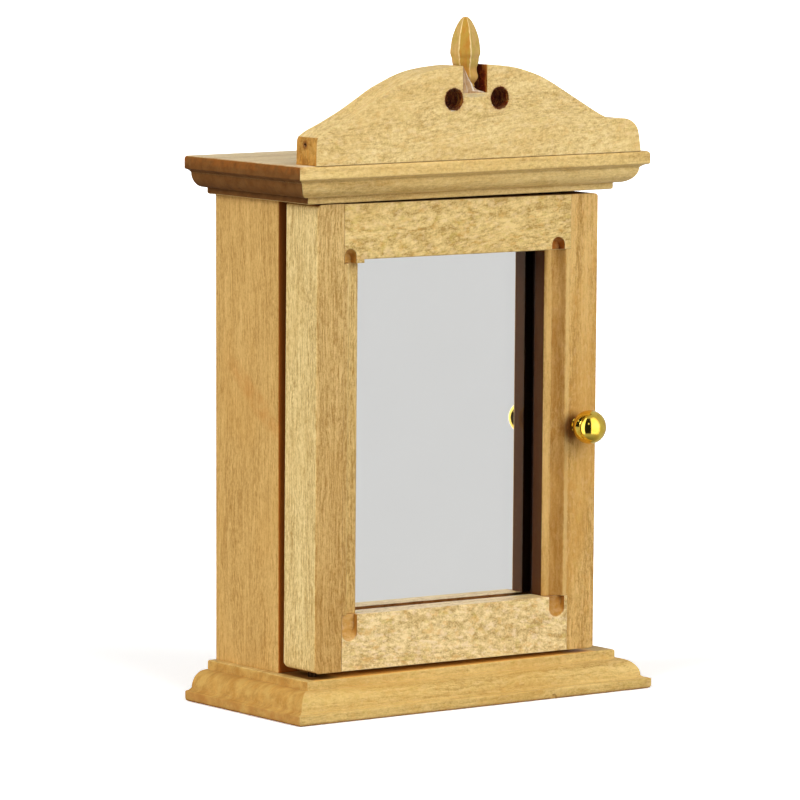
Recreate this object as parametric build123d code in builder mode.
from build123d import *
from math import cos, radians, sin, sqrt
import os

os.makedirs("parts", exist_ok=True)

# Miniature mirror-door cabinet, one-twelfth scale dolls' house furniture.
# Millimetres, +Z up. Origin: centre of the plinth's underside. The door faces -Y.

# ---------------------------------------------------------------- dimensions
CARCASS_H = 56.0          # plinth underside to cornice top face
BOARD_T = 4.0             # plinth and cornice boards
BASE_W = 44.5
BASE_D = 20.6             # depth of both boards
CORNICE_W = 43.9
CORNICE_X = -0.3          # the cornice sits a little to the left
BACK_Y = BASE_D / 2       # all backs are flush
TOP = CARCASS_H
UNDER_CORNICE = TOP - BOARD_T

# Moulded edge of both boards, from the wide face: plain fillet, small roll,
# quarter round, then a short upright step to the narrow face.
# Heights: top of the fillet, middle of the roll, foot and top of the quarter round.
BASE_MOULD = (0.95, 1.14, 1.33, 3.07)
CORNICE_MOULD = (1.20, 1.45, 1.68, 3.30)
EASE = 0.38               # rounding of the boards' wide arrises
ROLL_END = 0.75           # inner end of the roll, in from the edge
ROUND_START = 0.8         # start of the quarter round, in from the edge
STEP_BACK_END = 2.8       # step face, in from the end of the board
STEP_BACK_FRONT = 2.65    # step face, in from the front of the board
STEP_EASE = 0.2           # rounding of the step's arris
BRUISE = (9.55, -10.48, 0.12)
BRUISE_R = 0.46

PANEL_T = 2.4             # side panels
PANEL_LEFT = -18.48       # outer face of the left panel
PANEL_RIGHT = 17.90       # outer face of the right panel
PANEL_FRONT = -1.1        # front edge of the side panels
PANEL_EASE = 0.15
INNER_L = PANEL_LEFT + PANEL_T
INNER_R = PANEL_RIGHT - PANEL_T
BACK_T = 1.6
SHELF_T = 1.6
SHELF_FRONT = -0.7
SHELF_EASE = 0.3
LOWER_SHELF_Z = 19.2      # underside
UPPER_SHELF_Z = 35.2

DOOR_X = -18.46           # lower left corner of the door
DOOR_FRONT = -7.45
DOOR_Z = 4.65
DOOR_W = 35.3
DOOR_H = 47.25
DOOR_T = 5.6
DOOR_SAG = 0.40           # degrees, clockwise seen from the front
STILE_L = 3.3             # flat width of the left stile
STILE_R = 3.55            # flat width of the right stile
TOP_RAIL = 5.65
BOTTOM_RAIL = 5.7
ARRIS = 0.22              # rounding of the long outer edges
CORNER_R = 0.55           # rounding of the door's outer corners
DUB_R = 1.15              # lower back corner on the hinge side
BACK_EASE = 0.35          # upper back corner on the hinge side
BACK_EASE_MIDDLE = 0.1    # how far the middle of that corner's arc lies inside each face
BACK_TRIM = 3.0           # depth of the zone, from the door's back, that is trimmed in height
GLASS_DEPTH = 2.8         # door front to glass front
GLASS_T = 1.5
BACKING_T = 0.8
BACKING_GAP = 0.04        # the silvering's paint keeps the card off the glass
REBATE = 1.1
GLASS_PLAY = 0.08

PED_FRONT = -10.2
PED_T = 3.5
SLOT_LEFT, SLOT_RIGHT = -2.24, 0.81
SLOT_FLOOR = 62.65 - TOP  # above the cornice
SLOT_CLEAR = 11.0         # the slot's cutter ends here, above the pediment
EYE_R = 1.12
EYES = ((-3.35, 62.08), (2.37, 62.06))

FINIAL_X = (SLOT_LEFT + SLOT_RIGHT) / 2 + 0.03
FINIAL_Y = PED_FRONT + PED_T / 2
GLUE_SET_BACK = 0.12      # glue front, behind the pediment front
GLUE_T = PED_T - 0.5

PIN_X, PIN_Y = -16.9, -4.8
PIN_R = 0.45
PIN_BORE_R = 0.50
BOTTOM_PIN = (1.0, 8.20)  # lower and upper end
TOP_PIN = (48.3, 55.0)
LOW_BORE_SPARE = 0.02     # bore beyond the pin's end
HIGH_BORE_SPARE = 0.25

KNOB_R = 3.5 / 2          # ball knob
KNOB_X, KNOB_Y, KNOB_Z = 14.71, -9.3, 27.72
KNOB_NECK_R = 0.72
KNOB_FLARE_L = 0.12       # flare where the neck meets the door
KNOB_FLARE_W = 0.18
KNOB_SHANK_R = 0.40
KNOB_SHANK_END = -4.4

# Door frame, tipped by the sag.
sag_sin, sag_cos = sin(radians(DOOR_SAG)), cos(radians(DOOR_SAG))
DOOR_CORNER = (DOOR_X, DOOR_FRONT, DOOR_Z)
ALONG_DOOR = (sag_cos, 0, -sag_sin)
UP_DOOR = (sag_sin, 0, sag_cos)
# Front face: x along the door, y up the door, z outwards.
DOOR = Plane(origin=DOOR_CORNER, x_dir=ALONG_DOOR, z_dir=(0, -1, 0))
# Stile cross-section: x along the door, y into the door, z up the door.
SECTION = Plane(origin=DOOR_CORNER, x_dir=ALONG_DOOR, z_dir=UP_DOOR)
# Side of the door: x into the door, y up the door, z along the door.
DOOR_SIDE = Plane(origin=DOOR_CORNER, x_dir=(0, 1, 0), z_dir=ALONG_DOOR)

# A quarter circle's middle lies this share of the radius inside each side.
QUARTER_PULL = 1 - cos(radians(45))


# ------------------------------------------------------------------- helpers
# The outline helpers draw into the BuildLine block that calls them.
def rectangle(x_low, y_low, x_high, y_high):
    Polyline((x_low, y_low), (x_high, y_low), (x_high, y_high), (x_low, y_high), close=True)


def corner_arc(start, corner, end, pull=QUARTER_PULL):
    """Arc that rounds off a square corner between start and end."""
    middle = tuple(c + pull * (s - c + e - c) for s, c, e in zip(start, corner, end))
    ThreePointArc(start, middle, end)


def front_plane(x, y, z):
    """Upright plane seen from the front: x to the right, y up, z towards -Y."""
    return Plane(origin=(x, y, z), x_dir=(1, 0, 0), z_dir=(0, -1, 0))


def slab(plane, low, high, amount):
    with BuildPart() as piece:
        with BuildSketch(plane):
            with BuildLine():
                rectangle(*low, *high)
            make_face()
        extrude(amount=amount)
    return piece


def save(piece, name):
    piece.part.label = name
    export_step(piece.part, "parts/" + name + ".step")


# -------------------------------------------------------- plinth and cornice
def moulded_outline(at, step, far, mould):
    """Board outline with one moulded edge.

    at turns (inset from the edge, height from the wide face) into a point;
    step and far are the insets of the step face and of the plain end.
    """
    plain_top, roll_middle, quirk, round_top = mould
    round_end = ROUND_START + round_top - quirk
    corner_arc(at(EASE, 0), at(0, 0), at(0, EASE))
    Line(at(0, EASE), at(0, plain_top))
    roll_start = at(0.12, plain_top + 0.15)
    ThreePointArc(at(0, plain_top), at(0.035, plain_top + 0.1), roll_start)
    ThreePointArc(roll_start, at(0.45, roll_middle), at(ROLL_END, quirk))
    Line(at(ROLL_END, quirk), at(ROUND_START, quirk))
    corner_arc(at(ROUND_START, quirk), at(ROUND_START, round_top), at(round_end, round_top))
    step_top = at(step, BOARD_T - STEP_EASE)
    step_flat = at(step + STEP_EASE, BOARD_T)
    Polyline(at(round_end, round_top), at(step, round_top), step_top)
    corner_arc(step_top, at(step, BOARD_T), step_flat, pull=0.3)
    Polyline(step_flat, at(far, BOARD_T), at(far, 0), at(EASE, 0))


def moulded_board(length, middle_x, wide_z, way, mould, pin_end):
    """Board with moulded ends and front; way is +1 if it thins upwards, -1 downwards."""
    with BuildPart() as board:
        # outline seen from the front: both ends moulded
        with BuildSketch(Plane.XZ):
            for side in (-1, 1):
                def end_at(inset, height):
                    return (middle_x + side * (length / 2 - inset), wide_z + way * height)

                with BuildLine():
                    moulded_outline(end_at, STEP_BACK_END, length / 2, mould)
                make_face()
        extrude(amount=BASE_D / 2, both=True)

        # outline seen from the side: front edge moulded, back square
        def front_at(inset, height):
            return (inset - BASE_D / 2, wide_z + way * height)

        with BuildSketch(Plane.YZ):
            with BuildLine():
                moulded_outline(front_at, STEP_BACK_FRONT, BASE_D, mould)
            make_face()
        extrude(amount=BASE_W / 2 + 1, both=True, mode=Mode.INTERSECT)
        # socket for the hinge pin
        with BuildSketch(Plane(origin=(PIN_X, PIN_Y, pin_end))):
            Circle(PIN_R)
        extrude(amount=way * BOARD_T, mode=Mode.SUBTRACT)
    return board


plinth_board = moulded_board(BASE_W, 0, 0, 1, BASE_MOULD, BOTTOM_PIN[0])
with BuildPart() as base_plinth:
    add(plinth_board.part)
    # small bruise knocked out of the lower front arris
    with Locations(BRUISE):
        Sphere(radius=BRUISE_R, mode=Mode.SUBTRACT)
save(base_plinth, "base_plinth")

save(moulded_board(CORNICE_W, CORNICE_X, TOP, -1, CORNICE_MOULD, TOP_PIN[1]), "cornice")


# ------------------------------------------------- side panels, back, shelves
def side_panel(left_x):
    with BuildPart() as panel:
        with BuildSketch(Plane.XY.offset(BOARD_T)):
            with BuildLine():
                rectangle(left_x, PANEL_FRONT, left_x + PANEL_T, BACK_Y)
            make_face()
        extrude(amount=UNDER_CORNICE - BOARD_T)
        fillet(panel.edges().filter_by(Axis.Z), radius=PANEL_EASE)
    return panel


def shelf(underside):
    with BuildPart() as board:
        with BuildSketch(Plane.YZ.offset(INNER_L)):
            with BuildLine():
                rectangle(SHELF_FRONT, underside, BACK_Y - BACK_T, underside + SHELF_T)
            make_face()
        extrude(amount=INNER_R - INNER_L)
        # ease both front arrises
        fillet(board.edges().filter_by(Axis.X).group_by(Axis.Y)[0], radius=SHELF_EASE)
    return board


save(side_panel(PANEL_LEFT), "left_side_panel")
save(side_panel(INNER_R), "right_side_panel")
save(slab(Plane.XY.offset(BOARD_T), (INNER_L, BACK_Y - BACK_T), (INNER_R, BACK_Y),
          UNDER_CORNICE - BOARD_T), "back_panel")
save(shelf(LOWER_SHELF_Z), "lower_shelf")
save(shelf(UPPER_SHELF_Z), "upper_shelf")

# ----------------------------------------------------------------- pediment
# Outline seen from the front: (x, height above the cornice).
PED_LEFT_FOOT = (-20.22, 0)
PED_LEFT_SHOULDER = (-20.16, 2.2)
PED_RIGHT_FOOT = (20.46, 0)
PED_LEFT_CURVE = [
    (-19.98, 2.80), (-19.41, 3.16), (-18.60, 3.55), (-17.51, 4.00), (-16.26, 4.58),
    (-14.95, 5.22), (-13.67, 5.93), (-12.40, 6.66), (-11.36, 7.26), (-10.08, 7.83),
    (-8.86, 8.33), (-7.26, 8.84), (-5.20, 9.20), (-3.70, 9.34), (SLOT_LEFT, 9.42),
]
PED_RIGHT_CURVE = [
    (SLOT_RIGHT, 9.50), (1.75, 9.42), (3.22, 9.27), (4.74, 9.00), (6.26, 8.57),
    (7.79, 8.01), (9.32, 7.24), (10.86, 6.38), (12.40, 5.52), (13.95, 4.64),
    (15.50, 3.84), (16.05, 3.60),
]
PED_HUMP = [
    (16.05, 3.60), (16.55, 3.47), (17.2, 3.49), (17.85, 3.49), (18.6, 3.41), (19.25, 3.17),
    (19.75, 2.78), (20.05, 2.34), (20.21, 1.78), (20.32, 1.15), (20.40, 0.6),
]
PIT_CENTRE = (-20.6, -8.17, TOP + 2.02)
PIT_OUTLINE = [(-0.36, 0.0), (0.02, 0.32), (0.34, 0.02), (-0.03, -0.30)]
PIT_DEPTH = 0.95          # from PIT_CENTRE, which lies just outside the end
PIT_TAPER = 6             # degrees

with BuildPart() as pediment:
    with BuildSketch(front_plane(0, PED_FRONT, TOP)):
        with BuildLine():
            Line(PED_LEFT_FOOT, PED_LEFT_SHOULDER)
            ThreePointArc(PED_LEFT_SHOULDER, (-20.11, 2.54), PED_LEFT_CURVE[0])
            Spline(PED_LEFT_CURVE)
            Line(PED_LEFT_CURVE[-1], PED_RIGHT_CURVE[0])
            Spline(PED_RIGHT_CURVE)
            Spline(PED_HUMP)
            Polyline(PED_HUMP[-1], PED_RIGHT_FOOT, PED_LEFT_FOOT)
        make_face()
    extrude(amount=-PED_T)
    # open slot for the finial
    with BuildSketch(front_plane(0, PED_FRONT, TOP)):
        with BuildLine():
            rectangle(SLOT_LEFT, SLOT_FLOOR, SLOT_RIGHT, SLOT_CLEAR)
        make_face()
    extrude(amount=-PED_T, mode=Mode.SUBTRACT)
    # two drilled eyes beside the foot of the slot
    for eye_x, eye_z in EYES:
        with BuildSketch(front_plane(eye_x, PED_FRONT, eye_z)):
            Circle(EYE_R)
        extrude(amount=-PED_T, mode=Mode.SUBTRACT)
    # small diamond-shaped pit in the left end grain
    with BuildSketch(Plane(origin=PIT_CENTRE, x_dir=(0, 1, 0), z_dir=(1, 0, 0))):
        with BuildLine():
            Polyline(*PIT_OUTLINE, close=True)
        make_face()
    extrude(amount=PIT_DEPTH, taper=PIT_TAPER, mode=Mode.SUBTRACT)
save(pediment, "pediment")

# ------------------------------------------------------------------- finial
# Octagonal sections from the foot up: (z, corner radius).
FINIAL_SECTIONS = [
    (63.10, 0.62), (63.45, 0.94), (63.95, 1.28), (64.35, 1.38), (64.80, 1.24),
    (65.25, 1.28), (65.75, 1.44), (66.45, 1.60), (67.15, 1.60), (67.95, 1.48),
    (68.70, 1.26), (69.35, 0.97), (69.85, 0.66), (70.15, 0.38), (70.27, 0.18),
]
with BuildPart() as finial:
    for section_z, section_r in FINIAL_SECTIONS:
        with BuildSketch(Plane(origin=(FINIAL_X, FINIAL_Y, section_z))):
            RegularPolygon(radius=section_r, side_count=8, rotation=29.5)
    loft(ruled=False)
save(finial, "finial")

# Dried glue that holds the finial's foot in the slot: (x, height above the cornice).
GLUE_OUTLINE = [
    (SLOT_LEFT, SLOT_FLOOR), (SLOT_LEFT, 9.30), (-2.11, 9.30), (-1.92, 9.01),
    (-1.60, 8.39), (-1.29, 7.88), (-1.00, 7.57), (-0.78, 7.26), (-0.47, 7.02),
    (-0.03, 6.86), (0.40, 6.77), (0.70, SLOT_FLOOR),
]
with BuildPart() as finial_glue:
    with BuildSketch(front_plane(0, PED_FRONT + GLUE_SET_BACK, TOP)):
        with BuildLine():
            Polyline(*GLUE_OUTLINE, close=True)
        make_face()
    extrude(amount=-GLUE_T)
    add(finial.part, mode=Mode.SUBTRACT)
save(finial_glue, "finial_glue")

# -------------------------------------------------------------- door stiles
# Moulded margin inside each stile: (distance in from the flat, depth).
MOULD = [
    (0.62, 0.13), (0.72, 0.35), (0.88, 0.62), (1.10, 0.83), (1.38, 0.94), (1.60, 0.95),
    (1.82, 0.89), (2.04, 0.87), (2.24, 0.93), (2.37, 1.04), (2.45, 1.20),
]
MOULD_W = MOULD[-1][0]
BEAD = 0.52               # flat bead left standing beside the joint
BEAD_DROP = 0.06          # bead below the flat, reached by a slope as wide
SIGHT_LOW = BOTTOM_RAIL   # lower and upper edge of the opening, up the door
SIGHT_HIGH = DOOR_H - TOP_RAIL
TONGUE = 0.35             # the top rail reaches this far down inside the left stile
JOINT_L = STILE_L
JOINT_R = DOOR_W - STILE_R


def rounded_strip(edge, way, inner, height, radius):
    """Rectangle from x = edge to x = inner with both corners at the edge rounded."""
    near = edge + way * radius
    Polyline((near, 0), (inner, 0), (inner, height), (near, height))
    corner_arc((near, height), (edge, height), (edge, height - radius))
    Line((edge, height - radius), (edge, radius))
    corner_arc((edge, radius), (edge, 0), (near, 0))


def stile_flat(edge, way, joint):
    """Flat of a stile; way is +1 or -1, from the door's outer edge inwards."""
    with BuildPart() as flat:
        with BuildSketch(SECTION):
            with BuildLine():
                rounded_strip(edge, way, joint, DOOR_T, ARRIS)
            make_face()
        extrude(amount=DOOR_H)
        # rubbed outer corners, seen from the front
        with BuildSketch(DOOR.offset(1)):
            with BuildLine():
                rounded_strip(edge, way, joint + way, DOOR_H, CORNER_R)
            make_face()
        extrude(amount=-(DOOR_T + 2), mode=Mode.INTERSECT)
    return flat.part


def stile_margin(joint, way, top):
    """Moulded margin with the glass rebate behind it, from SIGHT_LOW up to top."""
    sight = joint + way * MOULD_W
    rebate = joint + way * (MOULD_W - REBATE)
    curve = [(joint + way * inset, depth) for inset, depth in MOULD]
    with BuildPart() as margin:
        with BuildSketch(SECTION.offset(SIGHT_LOW)):
            with BuildLine():
                Polyline((joint, DOOR_T), (joint, 0.0), (joint + way * BEAD_DROP, BEAD_DROP),
                         (joint + way * BEAD, BEAD_DROP), curve[0])
                Spline(curve)
                Polyline(curve[-1], (sight, GLASS_DEPTH), (rebate, GLASS_DEPTH),
                         (rebate, DOOR_T), (joint, DOOR_T))
            make_face()
        extrude(amount=top - SIGHT_LOW)
    return margin.part


left_flat = stile_flat(0, 1, JOINT_L)
left_margin = stile_margin(JOINT_L, 1, SIGHT_HIGH - TONGUE)
with BuildPart() as door_left_stile:
    add(left_flat)
    # back corners of the hinge side, seen from the left: dubbed off below, eased above
    trim = DOOR_T - BACK_TRIM
    with BuildSketch(DOOR_SIDE.offset(-1)):
        with BuildLine():
            Polyline((-1, -1), (trim, -1), (trim, 0), (DOOR_T - DUB_R, 0))
            corner_arc((DOOR_T - DUB_R, 0), (DOOR_T, 0), (DOOR_T, DUB_R))
            Line((DOOR_T, DUB_R), (DOOR_T, DOOR_H - BACK_EASE))
            corner_arc((DOOR_T, DOOR_H - BACK_EASE), (DOOR_T, DOOR_H),
                       (DOOR_T - BACK_EASE, DOOR_H), pull=BACK_EASE_MIDDLE / BACK_EASE)
            Polyline((DOOR_T - BACK_EASE, DOOR_H), (trim, DOOR_H), (trim, DOOR_H + 1),
                     (-1, DOOR_H + 1), (-1, -1))
        make_face()
    extrude(amount=JOINT_L + 2, mode=Mode.INTERSECT)
    add(left_margin)
    # blind pivot bores, upright on the hinge axis
    with BuildSketch(Plane(origin=(PIN_X, PIN_Y, 0))):
        Circle(PIN_BORE_R)
    extrude(amount=BOTTOM_PIN[1] + LOW_BORE_SPARE, mode=Mode.SUBTRACT)
    with BuildSketch(Plane(origin=(PIN_X, PIN_Y, TOP_PIN[0] - HIGH_BORE_SPARE))):
        Circle(PIN_BORE_R)
    extrude(amount=10, mode=Mode.SUBTRACT)
save(door_left_stile, "door_left_stile")

right_flat = stile_flat(DOOR_W, -1, JOINT_R)
right_margin = stile_margin(JOINT_R, -1, SIGHT_HIGH)
with BuildPart() as door_right_stile:
    add(right_flat)
    add(right_margin)
    # bore for the knob's shank
    with BuildSketch(front_plane(KNOB_X, DOOR_FRONT - 1, KNOB_Z)):
        Circle(KNOB_SHANK_R)
    extrude(amount=-(KNOB_SHANK_END - DOOR_FRONT + 1), mode=Mode.SUBTRACT)
save(door_right_stile, "door_right_stile")

# --------------------------------------------------------------- door rails
GLASS_L = JOINT_L + MOULD_W - REBATE
GLASS_R = JOINT_R - MOULD_W + REBATE
GLASS_LOW = SIGHT_LOW - REBATE
GLASS_HIGH = SIGHT_HIGH + REBATE
RAIL_PROUD = 0.03         # the rails stand a hair in front of the stiles
RAIL_SHORT = 0.03         # and end a hair inside the stiles' ends
RAIL_EASE = 0.12          # rounding of the arris beside the glass
# Stopped cutter run-outs, left then right: (centre in from the joint, half width,
# reach into the rail, start of the cut into the rail).
TOP_RUNOUTS = ((0.75, 0.72, 1.22, -3), (1.60, 0.83, 1.42, 0.14))
BOTTOM_RUNOUTS = ((0.95, 0.92, 3.00, -3), (1.33, 0.98, 2.45, -3))
RUNOUT_START = 0.2        # the cutter starts this far in front of the door
RUNOUT_CUT = 1.25
# Rise of the cut up the door per unit of depth.
TOP_RUNOUT_RISE = -0.45
BOTTOM_RUNOUT_RISE = 1.3


def door_rail(outline, sight, way, runouts, rise):
    """Rail; sight is its edge at the opening, way is +1 or -1, from there into the rail."""
    with BuildPart() as rail:
        with BuildSketch(DOOR.offset(RAIL_PROUD)):
            with BuildLine():
                Polyline(*outline, close=True)
            make_face()
        extrude(amount=-(DOOR_T + RAIL_PROUD))
        front_edges = rail.faces().sort_by(Axis.Y)[0].edges()
        long_edges = front_edges.filter_by(lambda edge: edge.length > 20).sort_by(Axis.Z)
        fillet(long_edges[0 if way > 0 else -1], radius=RAIL_EASE)
        # rebate for the glass
        with BuildSketch(DOOR.offset(-GLASS_DEPTH)):
            with BuildLine():
                rectangle(GLASS_L, sight - way, GLASS_R, sight + way * REBATE)
            make_face()
        extrude(amount=-DOOR_T, mode=Mode.SUBTRACT)
        # cutter run-outs that carry the stile moulding into the rail
        for joint, inward, runout in ((JOINT_L, 1, runouts[0]), (JOINT_R, -1, runouts[1])):
            inset, half, reach, start = runout
            centre = joint + inward * inset
            left, right = centre - half, centre + half
            foot = sight + way * start
            shoulder = sight + way * (reach - half)
            with BuildSketch(DOOR.offset(RUNOUT_START)):
                with BuildLine():
                    Polyline((left, shoulder), (left, foot), (right, foot), (right, shoulder))
                    ThreePointArc((right, shoulder), (centre, sight + way * reach),
                                  (left, shoulder))
                make_face()
            extrude(amount=RUNOUT_CUT, dir=(rise * sag_sin, 1.0, rise * sag_cos),
                    mode=Mode.SUBTRACT)
    return rail


TOP_RAIL_OUTLINE = [
    (JOINT_L, SIGHT_HIGH - TONGUE), (JOINT_L + MOULD_W, SIGHT_HIGH - TONGUE),
    (JOINT_L + MOULD_W, SIGHT_HIGH), (JOINT_R, SIGHT_HIGH),
    (JOINT_R, DOOR_H - RAIL_SHORT), (JOINT_L, DOOR_H - RAIL_SHORT),
]
BOTTOM_RAIL_OUTLINE = [
    (JOINT_L, RAIL_SHORT), (JOINT_R, RAIL_SHORT), (JOINT_R, SIGHT_LOW), (JOINT_L, SIGHT_LOW),
]
save(door_rail(TOP_RAIL_OUTLINE, SIGHT_HIGH, 1, TOP_RUNOUTS, TOP_RUNOUT_RISE),
     "door_top_rail")
save(door_rail(BOTTOM_RAIL_OUTLINE, SIGHT_LOW, -1, BOTTOM_RUNOUTS, BOTTOM_RUNOUT_RISE),
     "door_bottom_rail")

# ------------------------------------------------------------------- mirror
# The glass rests on the lower rebate, with play at the sides and top.
save(slab(DOOR.offset(-GLASS_DEPTH), (GLASS_L + GLASS_PLAY, GLASS_LOW),
          (GLASS_R - GLASS_PLAY, GLASS_HIGH - GLASS_PLAY), -GLASS_T), "mirror_glass")
save(slab(DOOR.offset(-(GLASS_DEPTH + GLASS_T + BACKING_GAP)), (GLASS_L, GLASS_LOW),
          (GLASS_R, GLASS_HIGH), -BACKING_T), "mirror_backing")

# --------------------------------------------------------------- ball knob
with BuildPart() as knob:
    # half outline: x is the radius, y is the cabinet's Y
    ball_tip = (0, KNOB_Y - KNOB_R)
    neck_start = (KNOB_NECK_R, KNOB_Y + sqrt(KNOB_R ** 2 - KNOB_NECK_R ** 2))
    with BuildSketch(Plane(origin=(KNOB_X, 0, KNOB_Z), x_dir=(1, 0, 0), z_dir=(0, 0, 1))):
        with BuildLine():
            ThreePointArc(ball_tip, (KNOB_R, KNOB_Y), neck_start)
            Polyline(neck_start, (KNOB_NECK_R, DOOR_FRONT - KNOB_FLARE_L),
                     (KNOB_NECK_R + KNOB_FLARE_W, DOOR_FRONT), (KNOB_SHANK_R, DOOR_FRONT),
                     (KNOB_SHANK_R, KNOB_SHANK_END), (0, KNOB_SHANK_END), ball_tip)
        make_face()
    revolve(axis=Axis((KNOB_X, 0, KNOB_Z), (0, 1, 0)), revolution_arc=360)
save(knob, "knob")


# -------------------------------------------------------------- hinge pins
def hinge_pin(low, high):
    with BuildPart() as pin:
        with BuildSketch(Plane(origin=(PIN_X, PIN_Y, low))):
            Circle(PIN_R)
        extrude(amount=high - low)
    return pin


save(hinge_pin(*BOTTOM_PIN), "bottom_hinge_pin")
save(hinge_pin(*TOP_PIN), "top_hinge_pin")
